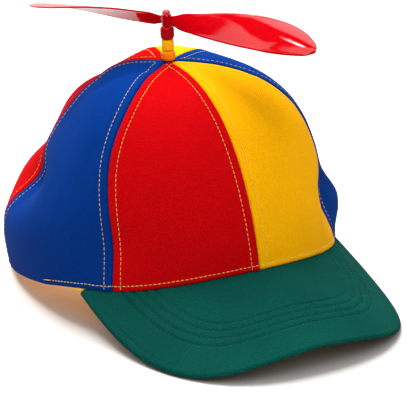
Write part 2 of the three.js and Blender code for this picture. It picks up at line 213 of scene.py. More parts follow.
# Studio: a wide soft light high behind the cap, a smaller one high in front that is kept off the
# floor, a faint warm glow under the rim, a pale surround and a pale floor
studio = dict(
    overhead=dict(place=(0.12, 0.9, 1.3), size=1.2, power=56, aim=(0, 0, 0.05), mirrored=False),
    front=dict(place=(-0.2, -0.65, 1.7), size=1.0, power=24, aim=(0, 0, 0.06), mirrored=True),
    warm=dict(place=(-0.03, 0.045, 0.03), size=0.03, power=0.085, colour=(1, 0.62, 0.38)),
    surround=(1.0, 0.99, 0.98), fill=(0.06, 0.8), fillRise=(0.15, 0.85),  # dim low down, bright above
    floorSize=7.0, floorColour=(0.8, 0.79, 0.775), floorGrain=6, floorDrift=1.01,
    floorWhite=(0.6, 2.5),  # how far out the floor turns white, past the lights' reach
)

# What glossy things mirror: a bright backdrop behind the cap, dark under its arched edge and in one
# patch, bright again low down but for the left, and one small glint; all as directions of length 1
backdrop = dict(
    bright=1.0, dark=0.015, behind=(0.0, 0.35), edge=0.012,
    high=0.626, lean=0.2, bend=0.15, top=0.815, topLean=0.25,
    low=0.59, lowEdge=0.02, lowSide=(-0.45, -0.25),
    patch=(0.23, 0.685), patchSize=(0.22, 0.03), patchLean=0.1, patchEdge=(0.7, 1.3),
    glint=(0.287, 0.637, 0.715), glintSize=0.065, glintPower=14,
)


def makeLight(name, light):
    data = bpy.data.lights.new(name, "AREA")
    data.shape = "SQUARE"
    data.size = light["size"]
    data.energy = light["power"]
    lamp = toObject(name, data)
    lamp.location = light["place"]
    pointAlong(lamp, Vector(light["aim"]) - lamp.location)
    lamp.visible_glossy = light["mirrored"]
    return lamp


def makeWarmLight(light):
    data = bpy.data.lights.new("warmLight", "POINT")
    data.shadow_soft_size = light["size"]
    data.energy = light["power"]
    data.color = light["colour"]
    toObject("warmLight", data).location = light["place"]


# How bright the surround is to a glossy surface, by direction
def mirroredSurround(tree, direction):
    b = backdrop
    parts = addNode(tree, "ShaderNodeSeparateXYZ", inputs={"Vector": direction})
    x, y, z = (parts.outputs[name] for name in "XYZ")
    across = calculate(tree, "MULTIPLY", x, x)
    bent = calculate(tree, "MULTIPLY_ADD", across, -b["bend"], y)
    tilted = calculate(tree, "MULTIPLY_ADD", x, -b["lean"], bent)
    high = ease(tree, tilted, (b["high"] - b["edge"], b["high"] + b["edge"]))
    steep = calculate(tree, "MULTIPLY_ADD", x, b["topLean"], z)
    top = ease(tree, steep, (b["top"] - b["edge"], b["top"] + b["edge"]))
    alongPatch = calculate(tree, "SUBTRACT", x, b["patch"][0])
    rise = calculate(tree, "SUBTRACT", y, b["patch"][1])
    overPatch = calculate(tree, "MULTIPLY_ADD", alongPatch, -b["patchLean"], rise)
    offsets = []
    for offset, size in zip((alongPatch, overPatch), b["patchSize"]):
        share = calculate(tree, "DIVIDE", offset, size)
        offsets.append(calculate(tree, "MULTIPLY", share, share))
    outside = ease(tree, calculate(tree, "ADD", *offsets), b["patchEdge"])
    upper = calculate(tree, "MULTIPLY", calculate(tree, "MAXIMUM", high, top), outside)
    low = ease(tree, z, (b["low"] - b["lowEdge"], b["low"] + b["lowEdge"]), (1, 0))
    lower = calculate(tree, "MULTIPLY", low, ease(tree, x, b["lowSide"]))
    behind = ease(tree, y, b["behind"])
    shown = calculate(tree, "MULTIPLY", calculate(tree, "MAXIMUM", upper, lower), behind)
    away = addNode(tree, "ShaderNodeVectorMath", dict(operation="DISTANCE"), {0: direction, 1: b["glint"]})
    glint = ease(tree, away.outputs["Value"], (0, b["glintSize"]), (b["glintPower"], 0))
    lit = calculate(tree, "MULTIPLY_ADD", shown, b["bright"] - b["dark"], b["dark"])
    return calculate(tree, "ADD", lit, glint)


def makeSurround():
    world = bpy.data.worlds.new("surround")
    bpy.context.scene.world = world
    world.use_nodes = True
    tree = world.node_tree
    rays = addNode(tree, "ShaderNodeLightPath").outputs
    direction = addNode(tree, "ShaderNodeTexCoord").outputs["Generated"]
    height = addNode(tree, "ShaderNodeSeparateXYZ", inputs={"Vector": direction}).outputs["Z"]
    soft = ease(tree, height, studio["fillRise"], studio["fill"])
    plain = calculate(tree, "MAXIMUM", soft, rays["Is Camera Ray"])
    mirrored = mirroredSurround(tree, direction)
    strength = addNode(
        tree, "ShaderNodeMix", inputs={"Factor": rays["Is Glossy Ray"], "A": plain, "B": mirrored},
    )
    background = tree.nodes["Background"]
    background.inputs["Color"].default_value = (*studio["surround"], 1)
    tree.links.new(strength.outputs["Result"], background.inputs["Strength"])


def makeFloor():
    material, tree, shader = newMaterial("paleFloor", {
        "Roughness": 0.9, "Specular IOR Level": 0.05, "Emission Color": (1, 1, 1, 1),
    })
    place = addNode(tree, "ShaderNodeTexCoord").outputs["Object"]
    grain = makeNoise(tree, place, studio["floorGrain"], 3)
    paler = [part * studio["floorDrift"] for part in studio["floorColour"]]
    away = addNode(tree, "ShaderNodeVectorMath", dict(operation="LENGTH"), {0: place}).outputs["Value"]
    feed(tree, shader, {
        "Base Color": mixColours(tree, grain, studio["floorColour"], paler),
        "Emission Strength": ease(tree, away, studio["floorWhite"]),
    })
    bm = bmesh.new()
    bmesh.ops.create_grid(bm, x_segments=1, y_segments=1, size=studio["floorSize"])
    mesh = toMesh(bm, "floor")
    mesh.materials.append(material)
    floor = toObject("floor", mesh)
    floor.visible_glossy = False
    return floor


# Leaves the floor out of what a light reaches
def keepOff(lamp, floor):
    flagged = bpy.data.collections.new("flaggedFloor")
    flagged.objects.link(floor)
    flagged.collection_objects[0].light_linking.link_state = "EXCLUDE"
    lamp.light_linking.receiver_collection = flagged


makeLight("overheadLight", studio["overhead"])
frontLight = makeLight("frontLight", studio["front"])
makeWarmLight(studio["warm"])
makeSurround()
keepOff(frontLight, makeFloor())
bpy.context.scene.view_settings.view_transform = "Standard"
print("studio lit")

# Cloth: twill in the piece's own UV map, whose unit is a metre
twill = dict(
    rib=0.85 * mm, ribWaver=(0.6, 1.5), yarn=0.5 * mm, yarnWaver=(0.8, 2), lean=58,
    mottle=700, nap=0.7, fade=24, drift=0.12, rough=(0.78, 0.94), strength=0.55, depth=0.2 * mm,
)


def makeWave(tree, place, direction, pitch, waver):
    return addNode(
        tree, "ShaderNodeTexWave", dict(wave_type="BANDS", bands_direction=direction, wave_profile="SIN"),
        {"Vector": place, "Scale": 2 * math.pi / (20 * pitch),
         "Distortion": waver[0], "Detail": 1, "Detail Scale": waver[1]},
    ).outputs["Fac"]


def makeCloth(name, lit, shade, sheen):
    material, tree, shader = newMaterial(name, {
        "Sheen Weight": sheen, "Sheen Roughness": 0.35, "Sheen Tint": (*lit, 1), "Specular IOR Level": 0.04,
    })
    place = addNode(tree, "ShaderNodeTexCoord").outputs["UV"]
    lean = (0, 0, math.radians(twill["lean"]))
    turned = addNode(tree, "ShaderNodeMapping", inputs={"Vector": place, "Rotation": lean})
    rib = makeWave(tree, turned.outputs["Vector"], "X", twill["rib"], twill["ribWaver"])
    yarn = makeWave(tree, place, "Y", twill["yarn"], twill["yarnWaver"])
    mottle = makeNoise(tree, place, twill["mottle"], 3, 0.6)
    fade = makeNoise(tree, place, twill["fade"], 3)
    weave = calculate(tree, "MULTIPLY", rib, yarn)
    height = calculate(tree, "MULTIPLY_ADD", mottle, twill["nap"], weave)
    tone = remap(tree, height, (0.3, 1.0), (0, 1))
    drift = remap(tree, fade, (0.3, 0.7), (-twill["drift"], twill["drift"]))
    share = calculate(tree, "ADD", tone, drift, clamp=True)
    feed(tree, shader, {
        "Base Color": mixColours(tree, share, shade, lit),
        "Roughness": remap(tree, mottle, (0.3, 0.7), twill["rough"]),
        "Normal": makeBump(tree, height, twill["strength"], twill["depth"]),
    })
    return material


redCloth = makeCloth("redCloth", (0.55, 0, 0.002), (0.32, 0, 0.001), 0.05)
yellowCloth = makeCloth("yellowCloth", (0.86, 0.45, 0), (0.66, 0.28, 0), 0.02)
blueCloth = makeCloth("blueCloth", (0, 0.036, 0.24), (0, 0.016, 0.11), 0.01)
greenCloth = makeCloth("greenCloth", (0.003, 0.084, 0.066), (0, 0.03, 0.024), 0.03)
bandTape = makeCloth("bandTape", (1.0, 0.76, 0.003), (0.95, 0.62, 0.002), 0.03)


def makeThread(name, lit, shade):
    material, tree, shader = newMaterial(name, {
        "Sheen Weight": 0.05, "Roughness": 0.6, "Specular IOR Level": 0.15,
    })
    place = addNode(tree, "ShaderNodeTexCoord").outputs["Object"]
    grain = makeNoise(tree, place, 1500, 2)
    feed(tree, shader, {
        "Base Color": mixColours(tree, grain, shade, lit),
        "Normal": makeBump(tree, grain, 0.4, 0.1 * mm),
    })
    return material


goldThread = makeThread("goldThread", (0.72, 0.53, 0.13), (0.48, 0.32, 0.05))
# The peak's thread is far darker than its green cloth: partly the thread's own dark green, partly painted
# shade of the grooves the stitches sink into
greenThreadAndGrooveShade = makeThread("greenThreadAndGrooveShade", (0, 0.02, 0.016), (0, 0.008, 0.006))
print("cloth and thread mixed")

# Crown
crown = dict(
    width=165 * mm, frontDepth=78 * mm, backDepth=112 * mm, height=118 * mm,
    topSetback=17 * mm, topAside=1.2 * mm, fullness=2.77, flatness=1.88, cloth=1.3 * mm, topHole=2.1 * mm,
)
rimFall = [  # how the rim falls behind the peak's ends
    dict(past=0.0, share=1.0),
    dict(past=0.11, share=0.86),
    dict(past=0.21, share=0.68),
    dict(past=0.32, share=0.45),
    dict(past=0.43, share=0.22),
    dict(past=0.54, share=0.06),
    dict(past=0.63, share=0.0),
    dict(past=1.0, share=0.0),
]
dents = [  # depths are shares of the crown's width, lifts of its height
    dict(name="slump of the back", angle=180, level=0.58, spread=60, rise=0.22, depth=-0.1),
    dict(name="slump of the right rear", angle=-118, level=0.62, spread=30, rise=0.26, depth=-0.03),
    dict(name="fullness behind that slump", angle=-142, level=0.58, spread=20, rise=0.16, depth=0.03),
    dict(name="fold at the right rear seam", angle=-115, level=0.3, spread=13, rise=0.08, depth=-0.075),
    dict(name="swell behind that fold", angle=-146, level=0.29, spread=16, rise=0.08, depth=0.01),
    dict(name="dip over that swell", angle=-152, level=0.42, spread=24, rise=0.09, depth=-0.04),
    dict(name="swell under that fold", angle=-122, level=0.18, spread=32, rise=0.13, depth=0.046),
    dict(name="swell of the rim under it", angle=-118, level=0.03, spread=26, rise=0.1, depth=0.018),
    dict(name="hollow at the left front seam", angle=56, level=0.17, spread=11, rise=0.1, depth=-0.04),
    dict(name="flare behind that hollow", angle=80, level=0.13, spread=17, rise=0.1, depth=0.055),
    dict(name="fullness of the left shoulder", angle=70, level=0.6, spread=40, rise=0.26, depth=0.045),
    dict(name="hollow at the right front seam", angle=-56, level=0.15, spread=9, rise=0.1, depth=-0.02),
    dict(name="full top of the left rear", angle=150, level=0.8, spread=60, rise=0.2, lift=0.035),
    dict(name="flat top of the right rear", angle=-160, level=0.8, spread=40, rise=0.15, lift=-0.065),
]
seamDrifts = [
    dict(name="right front seam", angle=-56, level=0.48, spread=22, rise=0.2, turn=-3.5),
    dict(name="back seam near the top", angle=180, level=0.92, spread=60, rise=0.22, turn=-22),
    dict(name="left front seam", angle=58, level=0.6, spread=25, rise=0.25, turn=2),
]
peak = dict(
    reach=57.5 * mm, width=169 * mm, thickness=2.6 * mm, bendRadius=122 * mm, pitch=18,
    endAngle=66, endSetback=2 * mm, squareness=2.9, clothInset=1.4 * mm, restGap=0.3 * mm,
)
stack = dict(hubFoot=19.2 * mm, bore=1.6 * mm)  # the hub's foot over the crown's top, along the pin
spin = frame["joints"][0]
pinAxis = Vector(spin["axis"]).normalized()
crownTop = Vector((crown["topAside"], crown["topSetback"], crown["height"]))
stackFoot = Vector(spin["pos_m"]) - pinAxis * stack["hubFoot"]
capPlace = stackFoot - crownTop  # from the crown's own centre to the frame's origin


def rimPlan(angle):
    turn = math.radians(angle)
    depth = crown["frontDepth"] if math.cos(turn) > 0 else crown["backDepth"]
    return crown["width"] / 2 * math.sin(turn), -depth * math.cos(turn)


# The peak's board, bent to a cylinder and pitched down, before it is lifted to stand on the floor
def boardHeight(x, y):
    sag = peak["bendRadius"] - math.sqrt(max(peak["bendRadius"] ** 2 - x * x, 0))
    return (y + crown["frontDepth"]) * math.tan(math.radians(peak["pitch"])) - sag


# The peak's outer edge from above, by turns from -90 at the right end to 90 at the left
def peakOutline(turn):
    side = math.sin(math.radians(turn))
    ahead = max(math.cos(math.radians(turn)), 0)
    endY = rimPlan(peak["endAngle"])[1] + peak["endSetback"]
    alongBoard = peak["width"] / 2 * math.copysign(abs(side) ** (2 / peak["squareness"]), side)
    reach = endY + crown["frontDepth"] + peak["reach"]
    x = peak["bendRadius"] * math.sin(alongBoard / peak["bendRadius"])
    return x, endY - reach * ahead ** (2 / peak["squareness"])


boardLift = peak["thickness"] - min(boardHeight(*peakOutline(turn)) for turn in range(-90, 91))


def boardTop(x, y):
    return boardHeight(x, y) + boardLift


# The rim's height at a quarter of a degree's steps from the front
@lru_cache(maxsize=None)
def rimStep(quarter):
    angle = quarter / 4
    if angle <= peak["endAngle"]:
        return boardTop(*rimPlan(angle)) + peak["restGap"]
    past = (angle - peak["endAngle"]) / (180 - peak["endAngle"])
    share = max(along(rimFall, "past", past, "share"), 0)
    return (boardTop(*rimPlan(peak["endAngle"])) + peak["restGap"]) * share


def rimHeight(angle):
    quarters = min(abs(angle), 360 - abs(angle)) * 4
    low = int(quarters)
    return rimStep(low) + (rimStep(low + 1) - rimStep(low)) * (quarters - low)


# How strongly a dent or a drift acts at a point, 1 at its middle
def nearness(row, angle, level):
    rise = (level - row["level"]) / row["rise"]
    if abs(rise) > 3:
        return 0
    away = ((angle - row["angle"] + 540) % 360 - 180) / row["spread"]
    if abs(away) > 3:
        return 0
    return math.exp(-away * away - rise * rise)


# A point of the crown's plain outer face, in the crown's own frame
def crownFace(seamAngle, level):
    rise = math.radians(90 * level)
    reach = max(math.cos(rise), 0) ** (2 / crown["fullness"])
    height = math.sin(rise) ** (2 / crown["flatness"])
    angle = seamAngle
    for row in seamDrifts:
        angle += row["turn"] * nearness(row, seamAngle, level)
    dent = lift = 0
    for row in dents:
        near = nearness(row, angle, level)
        if near:
            dent += row.get("depth", 0) * crown["width"] * near
            lift += row.get("lift", 0) * crown["height"] * near
    x, y = rimPlan(angle)
    held = min(2 * reach, 1)  # dents fade out at the top's middle
    outward = reach + dent * held / math.hypot(x, y)
    edge = rimHeight(angle)
    return Vector((
        x * outward + crown["topAside"] * height,
        y * outward + crown["topSetback"] * height,
        edge + (crown["height"] - edge) * height + lift * held,
    ))


# The same point with its outward direction and how many metres one degree is there
def crownSkin(angle, level):
    face = crownFace(angle, level)
    sideways = (crownFace(angle + 0.5, level) - face) * 2
    step = 0.01 if level < 0.97 else -0.01
    upward = (crownFace(angle, level + step) - face) * math.copysign(1, step)
    return face, sideways.cross(upward).normalized(), sideways.length


def levelAtHeight(angle, height):
    share = height / (crown["height"] - rimHeight(angle))
    return math.asin(min(share, 1) ** (crown["flatness"] / 2)) / math.radians(90)


def levelAtRadius(angle, radius):
    share = radius / math.hypot(*rimPlan(angle))
    return math.acos(share ** (crown["fullness"] / 2)) / math.radians(90)


# Seams: each is a pressed ridge with a groove on its line and a row of stitches beside it, in mm.
# creaseEnd is the share of a crease's length over which it fades out past its ends.
seams = [-122, -55, 0, 55, 122, 180]
seamForm = dict(
    groove=0.85, grooveWidth=0.42, ridge=0.34, yellowRidge=0.12, ridgeFoot=(0.2, 1.0), ridgeEnd=(4.0, 5.3),
    stitchLine=4.7, stitchDip=0.17, stitchWidth=0.4, pucker=0.16, puckerReach=8, puckerSize=6,
    hemRoll=0.8, hemRollWidth=0.45, hem=0.3, hemEnd=(2.4, 3.6), hemStitch=2.7,
    sway=0.45, swaySize=38, swayShift=(7, 3, 1), crumple=0.12, crumpleSize=14, seamCalm=18, hemCalm=20,
    rimHold=6, creaseEnd=0.35,
)
hemRow = dict(end=90, firstLength=8.5 * mm, steps=600, lift=0.08 * mm)

# Soft creases between two (angle, level) points, in mm
creases = [
    dict(name="right side panel, long", start=(-66.5, 0.46), end=(-68, 0.14), depth=0.9, width=3.2),
    dict(name="right side panel, under the top", start=(-95, 0.78), end=(-70, 0.93), depth=1.2, width=4.5),
    dict(name="left front panel, near the top", start=(19, 0.84), end=(22, 0.6), depth=0.4, width=4.5),
    dict(name="left front panel, middle", start=(20, 0.5), end=(18, 0.28), depth=0.45, width=6),
    dict(name="left side panel, at the flare", start=(64, 0.22), end=(78, 0.08), depth=1.1, width=3),
]
for crease in creases:
    crease["line"] = crownFace(*crease["start"]), crownFace(*crease["end"])


def creaseDepth(face):
    depth = 0
    for crease in creases:
        near, share = intersect_point_line(face, *crease["line"])
        away = (face - near).length / mm
        if away < 3 * crease["width"]:
            ending = bell(max(-share, share - 1, 0), 0, seamForm["creaseEnd"])
            depth += crease["depth"] * bell(away, 0, crease["width"]) * ending
    return depth


# How far the finished cloth stands out from the plain face, in metres
def clothRelief(face, angle, metresPerDegree):
    f = seamForm
    seamAway = min(abs((angle - seam + 180) % 360 - 180) for seam in seams) * metresPerDegree / mm
    hemAway = (face.z - rimHeight(angle)) / mm
    out = -f["groove"] * bell(seamAway, 0, f["grooveWidth"])
    ridge = f["yellowRidge"] if 0 < angle < 55 or angle > 122 else f["ridge"]
    out += ridge * smoothStep(*f["ridgeFoot"], seamAway) * (1 - smoothStep(*f["ridgeEnd"], seamAway))
    out -= f["stitchDip"] * bell(seamAway, f["stitchLine"], f["stitchWidth"])
    out -= f["hemRoll"] * bell(hemAway, 0, f["hemRollWidth"])
    out += f["hem"] * (1 - smoothStep(*f["hemEnd"], hemAway))
    if abs(angle) < hemRow["end"]:
        out -= f["stitchDip"] * bell(hemAway, f["hemStitch"], f["stitchWidth"])
    near = bell(min(seamAway, hemAway), 0, f["puckerReach"])
    out += f["pucker"] * near * noise.noise(face / (f["puckerSize"] * mm))
    away = smoothStep(0, f["seamCalm"], seamAway) * smoothStep(0, f["hemCalm"], hemAway)
    out += f["sway"] * away * noise.noise(face / (f["swaySize"] * mm) + Vector(f["swayShift"]))
    out += f["crumple"] * away * noise.noise(face / (f["crumpleSize"] * mm))
    out -= creaseDepth(face)
    return out * mm


# A point of the finished cloth, with its outward direction
def clothPoint(angle, level, lift=0.0):
    face, out, metresPerDegree = crownSkin(angle, level)
    out.z *= smoothStep(0, seamForm["rimHold"], (face.z - rimHeight(angle)) / mm)  # level at the rim
    out.normalize()
    place = face + out * (clothRelief(face, angle, metresPerDegree) + lift)
    return place + capPlace, out


panelGrid = dict(
    seamSteps=[0, 0.15, 0.4, 0.8, 1.4, 2.2, 3.1, 3.9, 4.35, 4.7, 5.05, 5.5, 6.4, 8.0],  # mm from a seam
    middleColumns=26,
    hemSteps=[0, 0.2, 0.5, 0.9, 1.5, 2.1, 2.45, 2.7, 2.95, 3.3, 4.0, 5.2],  # mm above the rim
    upperRows=150, widestSeamShare=0.66,
)


def rowLevel(angle, row):
    steps = panelGrid["hemSteps"]
    if row < len(steps):
        return levelAtHeight(angle, steps[row] * mm)
    first = levelAtHeight(angle, steps[-1] * mm)
    top = levelAtRadius(angle, crown["topHole"])
    return first + (top - first) * (row - len(steps) + 1) / panelGrid["upperRows"]


# Angles across a panel at one row, set close beside both seams
def rowAngles(fromAngle, toAngle, row):
    half = (toAngle - fromAngle) / 2
    sides = []
    for seam in (fromAngle, toAngle):
        perDegree = crownSkin(seam, rowLevel(seam, row))[2] / mm
        steps = [step / perDegree for step in panelGrid["seamSteps"]]
        shrink = min(1, panelGrid["widestSeamShare"] * half / steps[-1])
        sides.append([step * shrink for step in steps])
    left = [fromAngle + step for step in sides[0]]
    right = [toAngle - step for step in reversed(sides[1])]
    count = panelGrid["middleColumns"]
    middle = [left[-1] + (right[0] - left[-1]) * i / count for i in range(1, count)]
    return left + middle + right


def makePanel(name, fromAngle, toAngle, material, slot, stands):
    columns = 2 * len(panelGrid["seamSteps"]) + panelGrid["middleColumns"] - 2
    rows = len(panelGrid["hemSteps"]) + panelGrid["upperRows"] - 1
    middleAngle = (fromAngle + toAngle) / 2
    spots, length, before = {}, 0, None  # length is up the panel's middle
    for row in range(rows + 1):
        here = crownFace(middleAngle, rowLevel(middleAngle, row))
        length += (here - (before or here)).length
        before = here
        for column, angle in enumerate(rowAngles(fromAngle, toAngle, row)):
            across = (angle - middleAngle) * math.radians(1) * math.hypot(here.x, here.y)
            spots[column, row] = clothPoint(angle, rowLevel(angle, row))[0], (across, length)
    bm = layGrid(columns, rows, spots)
    piece = makePiece(bm, name, material, [stands])
    wall = piece.modifiers.new("clothThickness", "SOLIDIFY")
    wall.thickness = crown["cloth"]
    wall.offset = -1


panels = [
    ("red_front_panel", -55, 0, redCloth, "red_cloth", "front_panel_right"),
    ("yellow_front_panel", 0, 55, yellowCloth, "yellow_cloth", "front_panel_left"),
    ("blue_side_panel_right", -122, -55, blueCloth, "blue_cloth", "side_panel_right"),
    ("blue_side_panel_left", 55, 122, blueCloth, "blue_cloth", "side_panel_left"),
    ("red_back_panel", -180, -122, redCloth, "red_cloth", "back_panel_right"),
    ("yellow_back_panel", 122, 180, yellowCloth, "yellow_cloth", "back_panel_left"),
]
for panel in panels:
    makePanel(*panel)
    print("panel sewn:", panel[0])


# Stitches: short thick grains laid end to end along a path of places and outward directions
seamStitch = dict(pitch=2.5 * mm, length=1.85 * mm, width=0.38 * mm, height=0.36 * mm)
hemStitch = dict(pitch=2.35 * mm, length=1.85 * mm, width=0.44 * mm, height=0.36 * mm)
seamRow = dict(foot=0.9 * mm, topRadius=6.5 * mm, steps=240, lift=0.06 * mm)
grainForm = dict(sides=6, rings=5)


# One stitch of radius 1, which is stretched and laid wherever a stitch goes
def makeGrain():
    bm = bmesh.new()
    bmesh.ops.create_uvsphere(bm, u_segments=grainForm["sides"], v_segments=grainForm["rings"], radius=1)
    return toMesh(bm, "stitchGrain")


stitchGrain = makeGrain()


def addStitch(bm, start, end, out, stitch):
    run = end - start
    forward = run.normalized()
    side = out.cross(forward).normalized()
    up = forward.cross(side)
    place = Matrix.Identity(4)
    for i, column in enumerate((side * stitch["width"] / 2, up * stitch["height"] / 2, run / 2)):
        place.col[i] = (*column, 0)
    place.translation = (start + end) / 2
    grain = stitchGrain.copy()
    grain.transform(place)
    bm.from_mesh(grain)
    bpy.data.meshes.remove(grain)


def addStitchRow(bm, path, stitch, firstLength=0):
    travelled, due = 0, 0
    length = firstLength or stitch["length"]
    gap = stitch["pitch"] - stitch["length"]
    start = path[0][0]
    for (before, _), (place, out) in zip(path, path[1:]):
        step = (place - before).length
        while step and travelled + step >= due:
            here = before.lerp(place, (due - travelled) / step)
            if start is None:
                start = here
                due += length
            elif due == 0:
                due += length
            else:
                addStitch(bm, start, here, out, stitch)
                start, length = None, stitch["length"]
                due += gap
        travelled += step


def makeCrownStitches():
    bm = bmesh.new()
    line = seamForm["stitchLine"] * mm
    for seam in seams:
        low = levelAtHeight(seam, seamRow["foot"])
        high = levelAtRadius(seam, seamRow["topRadius"])
        for side in (-1, 1):
            path = []
            for i in range(seamRow["steps"] + 1):
                level = low + (high - low) * i / seamRow["steps"]
                perDegree = crownSkin(seam, level)[2]
                path.append(clothPoint(seam + side * line / perDegree, level, seamRow["lift"]))
            addStitchRow(bm, path, seamStitch)
    path = []
    for i in range(hemRow["steps"] + 1):
        angle = -hemRow["end"] + 2 * hemRow["end"] * i / hemRow["steps"]
        level = levelAtHeight(angle, seamForm["hemStitch"] * mm)
        path.append(clothPoint(angle, level, hemRow["lift"]))
    addStitchRow(bm, path, hemStitch, firstLength=hemRow["firstLength"])
    bmesh.ops.recalc_face_normals(bm, faces=bm.faces)
    makePiece(bm, "gold_stitching", goldThread)


makeCrownStitches()
print("crown stitched")

# Peak: its cloth is sewn through the board in four nested rows
peakForm = dict(
    columns=260, topRows=90, edgeSteps=10, lowerRows=24, searchSteps=4000, outlineSteps=1200,
    rowInset=17 * mm, rowPitch=4.6 * mm, rowCount=4,
    dip=0.95, dipWidth=0.55, quilt=0.12, edgeSeam=3.2, edgeSeamDip=0.16, edgeSeamWidth=0.5,
    pucker=0.3, puckerSize=4, puckerReach=6, under=-0.5,  # share of the relief on the underside
)
peakStitch = dict(pitch=2.6 * mm, length=1.8 * mm, width=0.76 * mm, height=0.4 * mm, lift=0.1 * mm)


# The board rolled out flat: a place along its bend and a place down its pitch
def flatPlace(x, y):
    sideways = peak["bendRadius"] * math.asin(x / peak["bendRadius"])
    return Vector((sideways, y / math.cos(math.radians(peak["pitch"])), 0))


# Turns along the peak's outer edge that are evenly spaced on it
def evenTurns(count):
    steps = peakForm["searchSteps"]
    turns = [-90 + 180 * i / steps for i in range(steps + 1)]
    lengths = [0]
    for a, b in zip(turns, turns[1:]):
        lengths.append(lengths[-1] + (flatPlace(*peakOutline(b)) - flatPlace(*peakOutline(a))).length)
    found, i = [], 0
    for step in range(count + 1):
        while i < steps and lengths[i] < lengths[-1] * step / count:
            i += 1
        found.append(turns[i])
    return found


edgeTurns = evenTurns(peakForm["outlineSteps"])
edgeTree = kdtree.KDTree(len(edgeTurns))
for index, turn in enumerate(edgeTurns):
    edgeTree.insert(flatPlace(*peakOutline(turn)), index)
edgeTree.balance()


def peakRelief(x, y):
    f = peakForm
    inset = edgeTree.find(flatPlace(x, y))[2] / mm
    out = -f["edgeSeamDip"] * bell(inset, f["edgeSeam"], f["edgeSeamWidth"])
    first, pitch = f["rowInset"] / mm, f["rowPitch"] / mm
    for row in range(f["rowCount"]):
        out -= f["dip"] * bell(inset, first + row * pitch, f["dipWidth"])
    last = first + (f["rowCount"] - 1) * pitch
    sewn = smoothStep(first - f["puckerReach"], first, inset)
    sewn *= 1 - smoothStep(last, last + f["puckerReach"], inset)
    out += f["quilt"] * sewn
    out += f["pucker"] * sewn * noise.noise(flatPlace(x, y) / (f["puckerSize"] * mm))
    return out * mm


def makePeak():
    f = peakForm
    turns = evenTurns(f["columns"])
    sectionCount = f["topRows"] + f["edgeSteps"] + f["lowerRows"] + 1
    radius = peak["thickness"] / 2
    spots = {}
    for column, turn in enumerate(turns):
        face, out, _ = crownSkin(turn / 90 * peak["endAngle"], 0)
        out.z = 0
        start = face - out.normalized() * peak["clothInset"]
        start = Vector((start.x, start.y))
        end = Vector(peakOutline(turn))
        run = (end - start).length
        forward = (end - start).normalized()
        for i in range(sectionCount + 1):
            if i <= f["topRows"]:
                share = i / f["topRows"]
                inward, drop = run - radius - (run - radius) * share, 0
            elif i <= f["topRows"] + f["edgeSteps"]:
                roll = math.pi * (i - f["topRows"]) / f["edgeSteps"]
                inward, drop = -radius * math.sin(roll), radius * (1 - math.cos(roll))
            elif i < sectionCount:
                share = (i - f["topRows"] - f["edgeSteps"]) / f["lowerRows"]
                inward, drop = (run - radius) * share, 2 * radius
            else:
                inward, drop = run - radius, 0
            place = end - forward * (radius + inward)
            relief = peakRelief(place.x, place.y)
            height = boardTop(place.x, place.y) - drop + relief * (1 if drop < radius else f["under"])
            spot = Vector((place.x, place.y, max(height, 0))) + capPlace
            spots[column, i] = spot, flatPlace(place.x, place.y).xy
    bm = layGrid(f["columns"], sectionCount, spots)
    closeUp(bm, fillHoles=True)
    makePiece(bm, "stitched_peak", greenCloth, ["peak"])


def insideRim(x, y):
    depth = crown["frontDepth"] if y < 0 else crown["backDepth"]
    return (x / (crown["width"] / 2)) ** 2 + (y / depth) ** 2 < 1


def makePeakStitches():
    bm = bmesh.new()
    cosPitch = math.cos(math.radians(peak["pitch"]))
    for row in range(peakForm["rowCount"]):
        inset = peakForm["rowInset"] + row * peakForm["rowPitch"]
        path = []
        for a, b in zip(edgeTurns, edgeTurns[1:]):
            start, end = flatPlace(*peakOutline(a)), flatPlace(*peakOutline(b))
            forward = (end - start).normalized()
            place = (start + end) / 2 + Vector((-forward.y, forward.x, 0)) * inset
            if abs(place.x) > peak["bendRadius"] or edgeTree.find(place)[2] < inset * 0.99:
                continue
            x = peak["bendRadius"] * math.sin(place.x / peak["bendRadius"])
            y = place.y * cosPitch
            if insideRim(x, y):
                continue
            spot = Vector((x, y, boardTop(x, y) + peakRelief(x, y) + peakStitch["lift"])) + capPlace
            path.append((spot, Vector((0, 0, 1))))
        addStitchRow(bm, path, peakStitch)
    bmesh.ops.recalc_face_normals(bm, faces=bm.faces)
    makePiece(bm, "peak_stitching", greenThreadAndGrooveShade)


makePeak()
makePeakStitches()
print("peak stitched")

# Tape inside the rim
band = dict(
    height=27 * mm, thickness=1.2 * mm, inset=2.3 * mm, show=2.2 * mm, showSpread=12,
    columns=240, sideRows=14, rollSteps=8, fadeHeight=6.5 * mm, length=0.57,
)


def makeBand():
    radius = band["thickness"] / 2
    section = []  # height above the lower edge and inset from the crown's face
    for i in range(band["rollSteps"] + 1):
        roll = math.pi * i / band["rollSteps"]
        section.append((radius - radius * math.sin(roll), band["inset"] + radius - radius * math.cos(roll)))
    sideRise = (band["height"] - radius) / band["sideRows"]
    for i in range(1, band["sideRows"]):
        section.append((radius + sideRise * i, band["inset"] + 2 * radius))
    for i in range(band["sideRows"], 0, -1):
        section.append((radius + sideRise * i, band["inset"]))
    section.append(section[0])
    spots = {}
    for column in range(band["columns"] + 1):
        angle = -180 + 360 * column / band["columns"]
        shown = band["show"] * bell(abs(angle), peak["endAngle"], band["showSpread"])
        for i, (height, inset) in enumerate(section):
            face, out, _ = crownSkin(angle, levelAtHeight(angle, height))
            out.z *= smoothStep(0, seamForm["rimHold"], height / mm)
            face -= out.normalized() * inset
            face.z -= shown * (1 - smoothStep(0, band["fadeHeight"], height))
            spots[column, i] = face + capPlace, (angle / 360 * band["length"], height + inset)
    bm = layGrid(band["columns"], len(section) - 1, spots)
    closeUp(bm)
    makePiece(bm, "rim_tape", bandTape, ["inner_band"])


makeBand()
print("rim tape laid")


